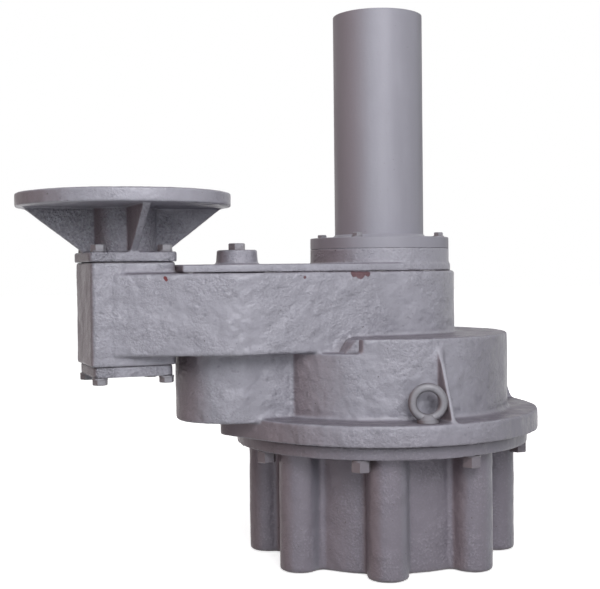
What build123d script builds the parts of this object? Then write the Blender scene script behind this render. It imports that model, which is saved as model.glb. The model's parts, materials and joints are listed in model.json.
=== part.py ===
from build123d import *
import os
from math import acos, cos, pi, radians, sin, tan

# Vertical reduction gearbox with a cast side arm, three gear stages and a tall standpipe.
# Millimetres. The origin is on the main axis at the foot face, +Z is up and the arm runs along -X.

# Gear teeth
pressure_angle = radians(20)
addendum = 1.0
dedendum = 1.25
ring_addendum = 0.8
tooth_play = 0.3
arm_module = 4.0
input_teeth = 22
counter_teeth = 55
drum_module = 4.0
pinion_teeth = 32
main_teeth = 89
planet_module = 5.0
sun_teeth = 18
planet_teeth = 18
planet_count = 3
ring_teeth = sun_teeth + 2 * planet_teeth

# Axes, which follow from the teeth
input_spacing = arm_module * (input_teeth + counter_teeth) / 2
counter_spacing = drum_module * (pinion_teeth + main_teeth) / 2
planet_circle = planet_module * (sun_teeth + planet_teeth) / 2
counter_x = -counter_spacing
input_x = counter_x - input_spacing


def tip_radius(teeth, module):
    return module * (teeth / 2 + addendum)


def root_radius(teeth, module):
    return module * (teeth / 2 - dedendum)


# Running gaps and fits
tooth_gap = 2.0
seat_gap = 0.03
slip_gap = 0.05
shield_gap = 0.4
bolt_gap = 0.05
bolt_hole_play = 0.5
seam_gap = 0.3

# Lower casing
casing_height = 191.0
casing_flange_radius = 222.0
casing_flange_thickness = 19.7
ring_rim = 8.5
ring_width = 52.0
ring_outside = planet_module * (ring_teeth / 2 + dedendum) + ring_rim
casing_wall = 11.2
casing_radius = ring_outside + slip_gap + casing_wall
casing_floor_bottom = 10.0
casing_floor_top = 24.0
ring_shoulder = 12.0
foot_boss_count = 8
foot_boss_radius = 30.2
foot_boss_circle = 174.0
foot_boss_blend = 8.0
foot_edge_round = 5.0
foot_hole_radius = 8.75
foot_hole_depth = 40.0
foot_boss_angle = -90 + 180 / foot_boss_count
edge_round = 3.0

# Upper casting: flange, drum, lower boss, arm and input box
flange_radius = 237.7
flange_thickness = 30.7
flange_top = casing_height + flange_thickness
flange_lug_x = -226.0
flange_lug_radius = 31.0
flange_edge_round = 4.0
drum_foot_round = 6.0
drum_wall = 8.3
drum_bore = tip_radius(main_teeth, drum_module) + 2.5
drum_radius = drum_bore + drum_wall
drum_top = 334.7
drum_ceiling = 10.7
drum_step_x = -104.0
drum_step_round = 5.0
boss_wall = 10.2
boss_bore = tip_radius(pinion_teeth, drum_module) + tooth_gap
boss_radius = boss_bore + boss_wall
boss_bottom = 215.5
boss_edge_round = 4.0
arm_bottom = 314.0
arm_top = 428.0
arm_wall = 6.0
arm_bore = tip_radius(counter_teeth, arm_module) + 1.5
arm_mid_radius = arm_bore + arm_wall
arm_end_radius = 114.3
arm_end_bore = 84.0
box_wall = 9.5
box_bore = 50.0
box_half = box_bore + box_wall
box_corner = 9.6
arm_tip_radius = box_half + 8.0
arm_tip_reach = 31.0
arm_top_round = 5.0
arm_bottom_round = 4.0
box_bottom = 300.8
box_top = 443.9
arm_ledge = 16.0
arm_ledge_reach = 18.0
rib_thickness = 8.0
rib_drop = 12.0
rib_reach = 4.5

# Arm cover with the standpipe seat and the plug boss
cover_thickness = 11.0
cover_top = arm_top + cover_thickness
cover_inset = 6.5
cover_edge_round = 2.0
seat_radius = 105.8
seat_top = 461.6
seat_bore = 60.0
plug_boss_x = -230.0
plug_boss_radius = 28.6
plug_boss_flare = 2.0
plug_boss_blend = 5.0
plug_boss_top = 460.3
plug_radius = 8.0
plug_head_across = 22.0
plug_head_height = 10.0
plug_length = 14.0

# Standpipe
pipe_radius = 67.8
pipe_wall = 5.0
pipe_top = 815.0
pipe_flange_thickness = 16.4
pipe_cap = 6.0
weld_leg = 5.0
pipe_bolt_circle = 94.6
pipe_bolt_count = 4

# Motor adapter, a 300 mm flange for a 132 frame motor
adapter_plate = 14.0
adapter_half = box_half + 1.9
hub_radius = 44.0
hub_bore = 38.0
hub_blend = 4.0
web_thickness = 11.0
web_foot = 60.0
web_head = 142.0
motor_flange_round = 2.0
motor_flange_radius = 150.0
motor_flange_thickness = 19.6
motor_face = 539.8
motor_spigot_radius = 115.0
motor_spigot_depth = 6.0
motor_bolt_circle = 265.0
motor_hole_radius = 7.25
motor_hole_count = 4
motor_shaft_radius = 19.0
motor_shaft_length = 80.0
motor_key_width = 10.0
motor_key_depth = 3.3
box_bolt_offset = 46.3
box_cover_thickness = 14.5
box_cover_half = box_half - 4.5

# Fasteners: nominal radius, across flats and head height
m6_radius = 3.0
m8_radius = 4.0
m8_across = 13.0
m8_head = 5.3
m12_radius = 6.0
m12_across = 18.0
m12_head = 7.5
m16_radius = 8.0
m16_across = 24.0
m16_nut = 14.8
head_chamfer = 1.0
washer_thickness = 2.5
small_washer = 1.6
washer_rim = 4.5
casing_bolt_circle = 207.0
casing_bolt_count = 8
casing_bolt_angle = -78.0
casing_bolt_bite = 24.0
box_bolt_bite = 20.0

# Lifting eyes with M12 shanks, after the standard eye bolt's sizes
eye_ring_radius = 21.0
eye_wire_radius = 6.0
eye_collar_radius = 15.0
eye_collar_height = 4.0
eye_neck_height = 6.0
eye_circle = 215.3
eye_angle = -98.1
eye_turn = -20.0
eye_bite = 22.0

# Output sleeve and carrier
output_bore = 30.0
output_sleeve = 45.0
output_bottom = 4.0
output_key_width = 18.0
output_key_depth = 4.4
carrier_plate = 16.0
carrier_radius = 118.0
carrier_bottom = 90.0
carrier_top_plate = 12.0
carrier_post_circle = 94.0
carrier_post_radius = 20.0
planet_width = 46.0
planet_side_gap = 4.0
planet_bore = 22.0
planet_pin_radius = 17.0
sun_side_gap = 2.0

# Bearings: bore, outside and width of the standard sizes used
output_bearing_outside = 70.0
output_bearing_width = 24.0
output_bearing_low = 20.0
output_bearing_step = 44.0
main_bearing_bore = 30.0
main_bearing_outside = 55.0
main_bearing_width = 22.0
top_bearing_bore = 25.0
top_bearing_outside = 45.0
top_bearing_width = 20.0
counter_bearing_bore = 20.0
counter_bearing_outside = 40.0
counter_bearing_width = 18.0
input_bearing_bore = 27.5
input_bearing_outside = box_bore
input_bearing_width = 21.0
tail_bearing_bore = 22.5
tail_bearing_outside = 42.5
tail_bearing_width = 19.0
inner_race = 0.33
outer_race = 0.67

# Bearing plate between the casing and the drum
plate_thickness = 16.0
plate_hub_radius = 68.0
plate_hub_drop = 6.0
plate_hub_top = 222.0
plate_screw_circle = 167.0
plate_screw_count = 8
screw_head_radius = 6.5
screw_head_height = 8.0

# Seal cap under the casing
cap_radius = 94.0
cap_bottom = 4.0
cap_top = 18.0
cap_screw_circle = 82.0
cap_screw_count = 6
cap_screw_bite = 17.0
output_seal_radius = 60.0
output_seal_width = 10.0
input_seal_radius = 36.0
input_seal_width = 10.0

# Wheels
main_width = 42.0
main_bottom = 252.0
main_hub_bottom = 236.0
main_hub_top = 306.0
main_hub_radius = 52.0
wheel_rim = 13.0
main_web = 14.0
main_hole_count = 6
main_hole_radius = 24.0
counter_width = 40.0
counter_bottom = 352.0
counter_hub_radius = 45.0
counter_hub_side = 4.0
counter_web = 14.0
counter_hole_count = 6
counter_hole_radius = 14.0
pinion_overlap = 2.0
wheel_key_width = 14.0
wheel_key_height = 9.0

# Levels that follow from the sizes above
ring_bottom = carrier_bottom + carrier_plate + 2.0
planet_bottom = carrier_bottom + carrier_plate + planet_side_gap
carrier_top = planet_bottom + planet_width + planet_side_gap
planet_top = planet_bottom + planet_width
carrier_height = carrier_top + carrier_top_plate
sun_bottom = carrier_bottom + carrier_plate + sun_side_gap
main_bearing_low = 196.0
main_bearing_high = main_bearing_low + main_bearing_width
top_bearing_low = 318.0
top_hub_radius = top_bearing_outside + 13.0
top_hub_bottom = top_bearing_low - 6.0
counter_seat = boss_bottom + 9.5
counter_floor = counter_seat + counter_bearing_width + 2.0
pinion_bottom = main_bottom - pinion_overlap
pinion_top = main_bottom + main_width + pinion_overlap
counter_hub_bottom = counter_bottom - 2.0
counter_hub_top = counter_bottom + counter_width + counter_hub_side
counter_top_seat = counter_hub_top + 6.0
counter_top = counter_top_seat + counter_bearing_width
input_pinion_bottom = counter_bottom - pinion_overlap
input_pinion_top = counter_bottom + counter_width + pinion_overlap
input_bearing_low = box_top - input_bearing_width - 1.5
tail_bearing_low = box_bottom + 2.2
pipe_flange_top = seat_top + pipe_flange_thickness
adapter_plate_top = box_top + adapter_plate
motor_flange_bottom = motor_face - motor_flange_thickness
shaft_mouth = motor_face - motor_spigot_depth - 1.0

os.makedirs("parts", exist_ok=True)


def keep(piece, name):
    piece.part.label = name
    export_step(piece.part, f"parts/{name}.step")


def involute(angle):
    return tan(angle) - angle


def flank_angle(teeth, module, radius):
    base = module * teeth / 2 * cos(pressure_angle)
    return involute(pressure_angle) - involute(acos(min(1.0, base / radius)))


def gear_points(centre_x, centre_y, teeth, module, first_tooth, radii, space=False):
    # Each tooth, or each space of an internal gear, is drawn through the given radii and back.
    pitch_radius = module * teeth / 2
    half_pitch = pi / (2 * teeth)
    play = tooth_play / (2 * pitch_radius)
    points = []
    for index in range(teeth):
        middle = radians(first_tooth) + 2 * pi * index / teeth
        for side, ordered in ((-1, radii), (1, radii[::-1])):
            for radius in ordered:
                half = half_pitch + (play if space else -play) + flank_angle(teeth, module, radius)
                angle = middle + side * half
                points.append((centre_x + radius * cos(angle), centre_y + radius * sin(angle)))
    return points


def gear_radii(teeth, module):
    tip = tip_radius(teeth, module)
    middle = module * (teeth / 2 + 0.1)
    return (root_radius(teeth, module), middle, tip)


def gear_face(centre_x, centre_y, teeth, module, first_tooth):
    points = gear_points(centre_x, centre_y, teeth, module, first_tooth, gear_radii(teeth, module))
    with BuildLine() as teeth_outline:
        Polyline(*points, close=True)
    make_face(teeth_outline.line)


def belt_outline(circles):
    # Circles on the X axis joined by their outside tangents.
    for x, radius in circles:
        with Locations((x, 0)):
            Circle(radius)
    make_hull()


def disc(x, radius, bottom, top, mode=Mode.ADD, y=0.0):
    with BuildSketch(Plane.XY.offset(bottom)) as outline:
        with Locations((x, y)):
            Circle(radius)
    extrude(outline.sketch, amount=top - bottom, mode=mode)


def box_corners(offset):
    return [(input_x + i * offset, j * offset) for i in (-1, 1) for j in (-1, 1)]


def holes(points, radius, bottom, top, mode=Mode.SUBTRACT):
    with BuildSketch(Plane.XY.offset(bottom)) as outline:
        with Locations(*points):
            Circle(radius)
    extrude(outline.sketch, amount=top - bottom, mode=mode)


def circle_points(radius, count, start):
    angles = [radians(start + 360 * index / count) for index in range(count)]
    return [(radius * cos(angle), radius * sin(angle)) for angle in angles]


def hex_bolts(name, points, seat, grip_end, radius, across, head, washer=0.0):
    # The head stands on the seat, above or below it, and the shank runs to the grip's end.
    outward = 1 if seat > grip_end else -1
    head_base = seat + outward * washer
    with BuildPart() as bolts:
        with BuildSketch(Plane.XY.offset(head_base)):
            with Locations(*points):
                RegularPolygon(across / 2, 6, major_radius=False)
        extrude(amount=outward * head)
        crowns = bolts.faces().filter_by(Axis.Z).group_by(Axis.Z)[-1 if outward > 0 else 0]
        chamfer(crowns.edges(), head_chamfer)
        with BuildSketch(Plane.XY.offset(head_base)):
            with Locations(*points):
                Circle(radius)
        extrude(amount=grip_end - head_base)
        if washer:
            with BuildSketch(Plane.XY.offset(seat)):
                with Locations(*points):
                    Circle(radius + washer_rim)
            extrude(amount=outward * washer)
    keep(bolts, name)


def socket_screws(name, points, seat, grip_end, radius, head_radius, head):
    outward = 1 if seat > grip_end else -1
    with BuildPart() as screws:
        holes(points, head_radius, min(seat, seat + outward * head), max(seat, seat + outward * head), Mode.ADD)
        holes(points, radius, min(seat, grip_end), max(seat, grip_end), Mode.ADD)
        with BuildSketch(Plane.XY.offset(seat + outward * head)):
            with Locations(*points):
                RegularPolygon(head_radius * 0.45, 6, major_radius=False)
        extrude(amount=-outward * head * 0.5, mode=Mode.SUBTRACT)
    keep(screws, name)


def ring(x, outside, bore, bottom, top):
    disc(x, outside, bottom, top)
    disc(x, bore, bottom, top, Mode.SUBTRACT)


def bearing(name, x, bottom, bore, outside, width):
    # A shielded ball bearing: the outer ring carries the shields, the inner ring turns.
    inner_edge = bore + (outside - bore) * inner_race
    with BuildPart() as outer:
        ring(x, outside - seat_gap, inner_edge + shield_gap, bottom, bottom + width)
    keep(outer, f"{name}_outer")
    with BuildPart() as inner:
        ring(x, inner_edge, bore + seat_gap, bottom, bottom + width)
    keep(inner, f"{name}_inner")


planet_places = circle_points(planet_circle, planet_count, 90)
planet_angles = [90 + 360 * index / planet_count for index in range(planet_count)]
casing_bolt_points = circle_points(casing_bolt_circle, casing_bolt_count, casing_bolt_angle)
foot_points = circle_points(foot_boss_circle, foot_boss_count, foot_boss_angle)
plate_screw_points = circle_points(plate_screw_circle, plate_screw_count, foot_boss_angle)
cap_screw_points = circle_points(cap_screw_circle, cap_screw_count, 0)
pipe_bolt_points = circle_points(pipe_bolt_circle, pipe_bolt_count, 45)
cover_screw_x = input_x + box_half + 10.0
cover_screw_points = [(cover_screw_x, y) for y in (-72.0, -26.0, 26.0, 72.0)]

# Lower casing with its eight foot bosses, blended into the wall
with BuildPart() as lower_casing:
    with BuildSketch(Plane.XY) as casing_profile:
        Circle(casing_radius)
        with Locations(*foot_points):
            Circle(foot_boss_radius)
        fillet(casing_profile.vertices(), foot_boss_blend)
    extrude(amount=casing_height - casing_flange_thickness)
    fillet(lower_casing.faces().sort_by(Axis.Z)[0].outer_wire().edges(), foot_edge_round)
    disc(0, casing_flange_radius, casing_height - casing_flange_thickness, casing_height)
    disc(0, casing_radius - casing_wall - ring_shoulder, casing_floor_top, ring_bottom, Mode.SUBTRACT)
    disc(0, ring_outside + slip_gap, ring_bottom, casing_height, Mode.SUBTRACT)
    disc(0, casing_radius - casing_wall, 0, casing_floor_bottom, Mode.SUBTRACT)
    hub_outside = output_bearing_outside + 14.0
    upper_output_seat = output_bearing_low + output_bearing_step
    disc(0, hub_outside, casing_floor_bottom, carrier_bottom - 1.0)
    disc(0, cap_radius + seat_gap, casing_floor_bottom, cap_top, Mode.SUBTRACT)
    lower_seat_top = output_bearing_low + output_bearing_width
    disc(0, output_bearing_outside, casing_floor_bottom, lower_seat_top, Mode.SUBTRACT)
    disc(0, output_bearing_outside - 6.0, lower_seat_top, upper_output_seat, Mode.SUBTRACT)
    disc(0, output_bearing_outside, upper_output_seat, carrier_bottom, Mode.SUBTRACT)
    holes(foot_points, foot_hole_radius, 0, foot_hole_depth)
    holes(cap_screw_points, m8_radius + bolt_gap, cap_top, cap_top + 18.0)
    holes(plate_screw_points, m8_radius + bolt_gap, casing_height - 18.0, casing_height)
    holes(
        casing_bolt_points,
        m16_radius + bolt_hole_play,
        casing_height - casing_flange_thickness,
        casing_height,
    )
keep(lower_casing, "lower_casing")

# Fixed ring gear, seated on the casing's inner shoulder
ring_radii = (
    planet_module * (ring_teeth / 2 - ring_addendum),
    planet_module * (ring_teeth / 2 + 0.2),
    planet_module * (ring_teeth / 2 + dedendum),
)
with BuildPart() as ring_gear:
    disc(0, ring_outside, ring_bottom, ring_bottom + ring_width)
    with BuildSketch(Plane.XY.offset(ring_bottom)):
        with BuildLine():
            Polyline(
                *gear_points(
                    0, 0, ring_teeth, planet_module, 90 + 180 / ring_teeth, ring_radii, space=True
                ),
                close=True,
            )
        make_face()
    extrude(amount=ring_width, mode=Mode.SUBTRACT)
keep(ring_gear, "ring_gear")

# Output sleeve and planet carrier in one piece
with BuildPart() as planet_carrier:
    disc(0, output_sleeve, output_bottom, carrier_bottom)
    disc(0, carrier_radius, carrier_bottom, carrier_bottom + carrier_plate)
    disc(0, carrier_radius, carrier_top, carrier_height)
    posts = circle_points(carrier_post_circle, planet_count, 90 + 180 / planet_count)
    holes(posts, carrier_post_radius, carrier_bottom + carrier_plate, carrier_top, Mode.ADD)
    disc(0, output_bore, output_bottom, carrier_bottom, Mode.SUBTRACT)
    with BuildSketch(Plane.XY.offset(output_bottom)):
        with Locations((0, output_bore)):
            Rectangle(output_key_width, 2 * output_key_depth)
    extrude(amount=carrier_bottom - output_bottom, mode=Mode.SUBTRACT)
    sun_clear = tip_radius(sun_teeth, planet_module) + tooth_gap + 2.0
    disc(0, sun_clear, carrier_top, carrier_height, Mode.SUBTRACT)
    holes(planet_places, planet_pin_radius + seat_gap, carrier_bottom + 4.0, carrier_height)
keep(planet_carrier, "planet_carrier")

with BuildPart() as planet_pins:
    holes(planet_places, planet_pin_radius, carrier_bottom + 4.0, carrier_height, Mode.ADD)
keep(planet_pins, "planet_pins")

for number, ((x, y), angle) in enumerate(zip(planet_places, planet_angles), 1):
    with BuildPart() as planet_gear:
        with BuildSketch(Plane.XY.offset(planet_bottom)):
            gear_face(x, y, planet_teeth, planet_module, angle + 180 + 180 / planet_teeth)
        extrude(amount=planet_width)
        disc(x, planet_bore, planet_bottom, planet_top, Mode.SUBTRACT, y)
    keep(planet_gear, f"planet_gear_{number}")
    with BuildPart() as planet_bush:
        disc(x, planet_bore - seat_gap, planet_bottom, planet_top, Mode.ADD, y)
        disc(x, planet_pin_radius + slip_gap, planet_bottom, planet_top, Mode.SUBTRACT, y)
    keep(planet_bush, f"planet_bush_{number}")

output_upper_low = output_bearing_low + output_bearing_step
for name, level in (("output_bearing_lower", output_bearing_low), ("output_bearing_upper", output_upper_low)):
    bearing(name, 0, level, output_sleeve, output_bearing_outside, output_bearing_width)

with BuildPart() as output_spacer:
    ring(0, output_sleeve + 6.0, output_sleeve + seat_gap, lower_seat_top, upper_output_seat)
keep(output_spacer, "output_spacer")

# Seal cap and output seal
with BuildPart() as seal_cap:
    disc(0, cap_radius, cap_bottom, cap_top)
    disc(0, output_bearing_outside - seat_gap, cap_top, output_bearing_low)
    disc(0, output_sleeve + 5.0, cap_bottom, output_bearing_low, Mode.SUBTRACT)
    disc(0, output_seal_radius, cap_bottom, cap_bottom + output_seal_width, Mode.SUBTRACT)
    holes(cap_screw_points, m8_radius + bolt_hole_play, cap_bottom, cap_top)
    holes(cap_screw_points, screw_head_radius + bolt_hole_play, cap_bottom, cap_bottom + screw_head_height)
keep(seal_cap, "seal_cap")

with BuildPart() as output_seal:
    ring(0, output_seal_radius - seat_gap, output_sleeve + slip_gap, cap_bottom, cap_bottom + output_seal_width)
keep(output_seal, "output_seal")
socket_screws(
    "seal_cap_screws",
    cap_screw_points,
    cap_bottom + screw_head_height,
    cap_top + cap_screw_bite,
    m8_radius,
    screw_head_radius,
    screw_head_height,
)

# Bearing plate, screwed down on the casing's top face
with BuildPart() as bearing_plate:
    disc(0, drum_bore - slip_gap, casing_height, casing_height + plate_thickness)
    disc(0, plate_hub_radius, casing_height - plate_hub_drop, plate_hub_top)
    disc(0, main_bearing_outside, main_bearing_low, plate_hub_top, Mode.SUBTRACT)
    plate_lip = tip_radius(sun_teeth, planet_module) + 1.0
    disc(0, plate_lip, casing_height - plate_hub_drop, main_bearing_low, Mode.SUBTRACT)
    holes(plate_screw_points, m8_radius + bolt_hole_play, casing_height, casing_height + plate_thickness)
keep(bearing_plate, "bearing_plate")
socket_screws(
    "bearing_plate_screws",
    plate_screw_points,
    casing_height + plate_thickness,
    casing_height - 16.0,
    m8_radius,
    screw_head_radius,
    screw_head_height,
)

# Outer form of the arm, cut off beside the input box, with rounded edges
arm_rise = arm_top - arm_bottom
with BuildPart() as arm_form:
    with BuildSketch(Plane.XY.offset(arm_bottom)):
        belt_outline([(input_x, arm_tip_radius), (counter_x, arm_mid_radius), (0, arm_end_radius)])
    extrude(amount=arm_rise)
    split(bisect_by=Plane.YZ.offset(input_x - arm_tip_reach), keep=Keep.TOP)
    arm_end_face = arm_form.faces().sort_by(Axis.X)[0]
    fillet(arm_end_face.edges().filter_by(lambda edge: abs(edge.tangent_at(0.5).Z) > 0.9), arm_bottom_round)
    fillet(arm_form.faces().sort_by(Axis.Z)[-1].outer_wire().edges(), arm_top_round)
    fillet(arm_form.faces().sort_by(Axis.Z)[0].outer_wire().edges(), arm_bottom_round)

# Outer form of the drum, stepped down where the arm crosses it
with BuildPart() as drum_form:
    disc(0, drum_radius, casing_height, drum_top)
    with BuildSketch(Plane.XY.offset(arm_bottom)):
        with Locations((drum_step_x, 0)):
            Rectangle(2 * drum_radius, 4 * drum_radius, align=(Align.MAX, Align.CENTER))
    extrude(amount=drum_top - arm_bottom, mode=Mode.SUBTRACT)
    step_face = drum_form.faces().filter_by(Axis.X).sort_by(Axis.X)[0]
    fillet(step_face.edges().filter_by(Axis.Z), drum_step_round)
    fillet(drum_form.faces().sort_by(Axis.Z)[-1].outer_wire().edges(), edge_round)

# Outer form of the lower boss
with BuildPart() as boss_form:
    with BuildSketch(Plane.XY.offset(boss_bottom)):
        belt_outline([(counter_x, boss_radius), (0, boss_radius)])
    extrude(amount=arm_bottom - boss_bottom + edge_round)
    fillet(boss_form.faces().sort_by(Axis.Z)[0].outer_wire().edges(), boss_edge_round)

# Upper casting
rib_top = drum_top - rib_drop
with BuildPart() as gear_housing:
    with BuildSketch(Plane.XY.offset(casing_height)):
        belt_outline([(0, flange_radius), (flange_lug_x, flange_lug_radius)])
    extrude(amount=flange_thickness)
    fillet(gear_housing.faces().sort_by(Axis.Z)[-1].outer_wire().edges(), flange_edge_round)
    add(drum_form.part)
    drum_foot = gear_housing.edges().filter_by(GeomType.CIRCLE).filter_by(
        lambda edge: abs(edge.center().Z - flange_top) < 0.1 and abs(edge.radius - drum_radius) < 0.1
    )
    fillet(drum_foot, drum_foot_round)
    add(boss_form.part)
    add(arm_form.part)
    with BuildSketch(Plane.XY.offset(box_bottom)):
        with Locations((input_x, 0)):
            RectangleRounded(2 * box_half, 2 * box_half, box_corner)
    extrude(amount=box_top - box_bottom)
    for turn in (-90, 0, 90):
        with BuildSketch(Plane.XZ.rotated((0, 0, turn))) as rib:
            with BuildLine():
                Polyline(
                    (drum_radius - 4.0, flange_top - 1.0),
                    (flange_radius - rib_reach, flange_top - 1.0),
                    (flange_radius - rib_reach, flange_top),
                    (drum_radius, rib_top),
                    (drum_radius - 4.0, rib_top),
                    close=True,
                )
            make_face()
        extrude(amount=rib_thickness / 2, both=True)
    low_ceiling = arm_bottom - drum_ceiling
    disc(0, drum_bore, casing_height, low_ceiling, Mode.SUBTRACT)
    with BuildSketch(Plane.XY.offset(low_ceiling)):
        Circle(drum_bore)
        with Locations((drum_step_x + drum_wall, 0)):
            Rectangle(2 * drum_radius, 2 * drum_radius, align=(Align.MAX, Align.CENTER), mode=Mode.SUBTRACT)
    extrude(amount=drum_top - arm_bottom, mode=Mode.SUBTRACT)
    with BuildSketch(Plane.XY.offset(counter_floor)):
        belt_outline([(counter_x, boss_bore), (0, boss_bore)])
    extrude(amount=low_ceiling - counter_floor, mode=Mode.SUBTRACT)
    disc(counter_x, boss_bore, counter_floor, drum_top, Mode.SUBTRACT)
    disc(counter_x, counter_bearing_outside, counter_seat, counter_floor, Mode.SUBTRACT)
    with BuildSketch(Plane.XY.offset(drum_top)):
        belt_outline([(input_x, box_bore), (counter_x, arm_bore), (0, arm_end_bore)])
    extrude(amount=arm_top - arm_ledge - drum_top, mode=Mode.SUBTRACT)
    with BuildSketch(Plane.XY.offset(arm_top - arm_ledge)):
        belt_outline([(input_x, box_bore), (counter_x, arm_bore), (0, arm_end_bore)])
        with Locations((input_x + box_half + arm_ledge_reach, 0)):
            Rectangle(4 * arm_mid_radius, 4 * arm_mid_radius, align=(Align.MAX, Align.CENTER), mode=Mode.SUBTRACT)
    extrude(amount=arm_ledge, mode=Mode.SUBTRACT)
    disc(input_x, box_bore, tail_bearing_low + tail_bearing_width, box_top, Mode.SUBTRACT)
    disc(input_x, tail_bearing_outside, box_bottom, tail_bearing_low + tail_bearing_width, Mode.SUBTRACT)
    disc(0, top_hub_radius, top_hub_bottom, drum_top)
    disc(0, top_hub_radius, drum_top, top_bearing_low + top_bearing_width + 8.0)
    disc(0, top_bearing_outside, top_hub_bottom, top_bearing_low + top_bearing_width, Mode.SUBTRACT)
    disc(0, top_bearing_outside - 5.0, top_bearing_low, top_bearing_low + top_bearing_width + 8.0, Mode.SUBTRACT)
    holes(casing_bolt_points, m16_radius + bolt_gap, casing_height, casing_height + casing_bolt_bite + 3.0)
    holes(pipe_bolt_points, m8_radius + bolt_gap, arm_top - 24.0, arm_top)
    holes(cover_screw_points, m6_radius + bolt_gap, arm_top - 14.0, arm_top)
    box_hole_depth = box_bolt_bite + 2.0
    holes(box_corners(box_bolt_offset), m12_radius + bolt_gap, box_top - box_hole_depth, box_top)
    holes(box_corners(box_bolt_offset), m12_radius + bolt_gap, box_bottom, box_bottom + box_hole_depth)
    eye_places = [
        (eye_circle * cos(radians(eye_angle + half_turn)), eye_circle * sin(radians(eye_angle + half_turn)))
        for half_turn in (0, 180)
    ]
    holes(eye_places, m12_radius + bolt_gap, flange_top - eye_bite - 1.0, flange_top)
keep(gear_housing, "gear_housing")

hex_bolts(
    "casing_bolts",
    casing_bolt_points,
    casing_height - casing_flange_thickness,
    casing_height + casing_bolt_bite,
    m16_radius,
    m16_across,
    m16_nut,
    washer_thickness,
)

# Main shaft with its sun gear, and the main wheel on it
sun_top = carrier_height - 2.0
with BuildPart() as sun_shaft:
    with BuildSketch(Plane.XY.offset(sun_bottom)):
        gear_face(0, 0, sun_teeth, planet_module, 90)
    extrude(amount=sun_top - sun_bottom)
    disc(0, main_bearing_bore + 6.0, sun_top, main_bearing_low)
    disc(0, main_bearing_bore, main_bearing_low, main_hub_top)
    disc(0, top_bearing_bore, main_hub_top, top_bearing_low + top_bearing_width + 4.0)
    with BuildSketch(Plane.XY.offset(main_hub_bottom + 6.0)):
        with Locations((main_bearing_bore, 0)):
            Rectangle(wheel_key_height, wheel_key_width)
    extrude(amount=main_hub_top - main_hub_bottom - 12.0, mode=Mode.SUBTRACT)
keep(sun_shaft, "sun_shaft")

with BuildPart() as main_wheel_key:
    with BuildSketch(Plane.XY.offset(main_hub_bottom + 6.0)):
        with Locations((main_bearing_bore, 0)):
            Rectangle(wheel_key_height, wheel_key_width)
    extrude(amount=main_hub_top - main_hub_bottom - 12.0)
keep(main_wheel_key, "main_wheel_key")

main_root = root_radius(main_teeth, drum_module)
main_rim_inside = main_root - wheel_rim
web_bottom = main_bottom + (main_width - main_web) / 2
with BuildPart() as main_wheel:
    with BuildSketch(Plane.XY.offset(main_bottom)):
        gear_face(0, 0, main_teeth, drum_module, 180 + 180 / main_teeth)
    extrude(amount=main_width)
    disc(0, main_rim_inside, main_bottom, web_bottom, Mode.SUBTRACT)
    disc(0, main_rim_inside, web_bottom + main_web, main_bottom + main_width, Mode.SUBTRACT)
    disc(0, main_hub_radius, main_hub_bottom, main_hub_top)
    hole_ring = (main_rim_inside + main_hub_radius) / 2
    holes(
        circle_points(hole_ring, main_hole_count, 0), main_hole_radius, web_bottom, web_bottom + main_web
    )
    disc(0, main_bearing_bore + seat_gap, main_hub_bottom, main_hub_top, Mode.SUBTRACT)
    with BuildSketch(Plane.XY.offset(main_hub_bottom)):
        with Locations((main_bearing_bore, 0)):
            Rectangle(wheel_key_height + slip_gap, wheel_key_width + slip_gap)
    extrude(amount=main_hub_top - main_hub_bottom, mode=Mode.SUBTRACT)
keep(main_wheel, "main_wheel")

with BuildPart() as main_spacer_lower:
    ring(0, main_bearing_bore + 8.0, main_bearing_bore + slip_gap, main_bearing_high, main_hub_bottom)
keep(main_spacer_lower, "main_spacer_lower")
with BuildPart() as main_spacer_upper:
    ring(0, top_bearing_bore + 8.0, top_bearing_bore + slip_gap, main_hub_top, top_bearing_low)
keep(main_spacer_upper, "main_spacer_upper")
bearing("main_bearing_lower", 0, main_bearing_low, main_bearing_bore, main_bearing_outside, main_bearing_width)
bearing("main_bearing_upper", 0, top_bearing_low, top_bearing_bore, top_bearing_outside, top_bearing_width)

# Countershaft with its pinion, and the wheel in the arm
counter_seat_radius = counter_bearing_bore + 5.0
with BuildPart() as countershaft:
    disc(counter_x, counter_bearing_bore, counter_seat + 0.5, counter_floor)
    disc(counter_x, counter_bearing_bore + 6.0, counter_seat + counter_bearing_width, pinion_bottom)
    with BuildSketch(Plane.XY.offset(pinion_bottom)):
        gear_face(counter_x, 0, pinion_teeth, drum_module, 0)
    extrude(amount=pinion_top - pinion_bottom)
    disc(counter_x, counter_seat_radius + 6.0, pinion_top, counter_hub_bottom)
    disc(counter_x, counter_seat_radius, counter_hub_bottom, counter_hub_top)
    disc(counter_x, counter_bearing_bore, counter_hub_top, counter_top)
    with BuildSketch(Plane.XY.offset(counter_hub_bottom + 4.0)):
        with Locations((counter_x + counter_seat_radius, 0)):
            Rectangle(wheel_key_height, wheel_key_width)
    extrude(amount=counter_hub_top - counter_hub_bottom - 8.0, mode=Mode.SUBTRACT)
keep(countershaft, "countershaft")

with BuildPart() as counter_wheel_key:
    with BuildSketch(Plane.XY.offset(counter_hub_bottom + 4.0)):
        with Locations((counter_x + counter_seat_radius, 0)):
            Rectangle(wheel_key_height, wheel_key_width)
    extrude(amount=counter_hub_top - counter_hub_bottom - 8.0)
keep(counter_wheel_key, "counter_wheel_key")

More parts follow.
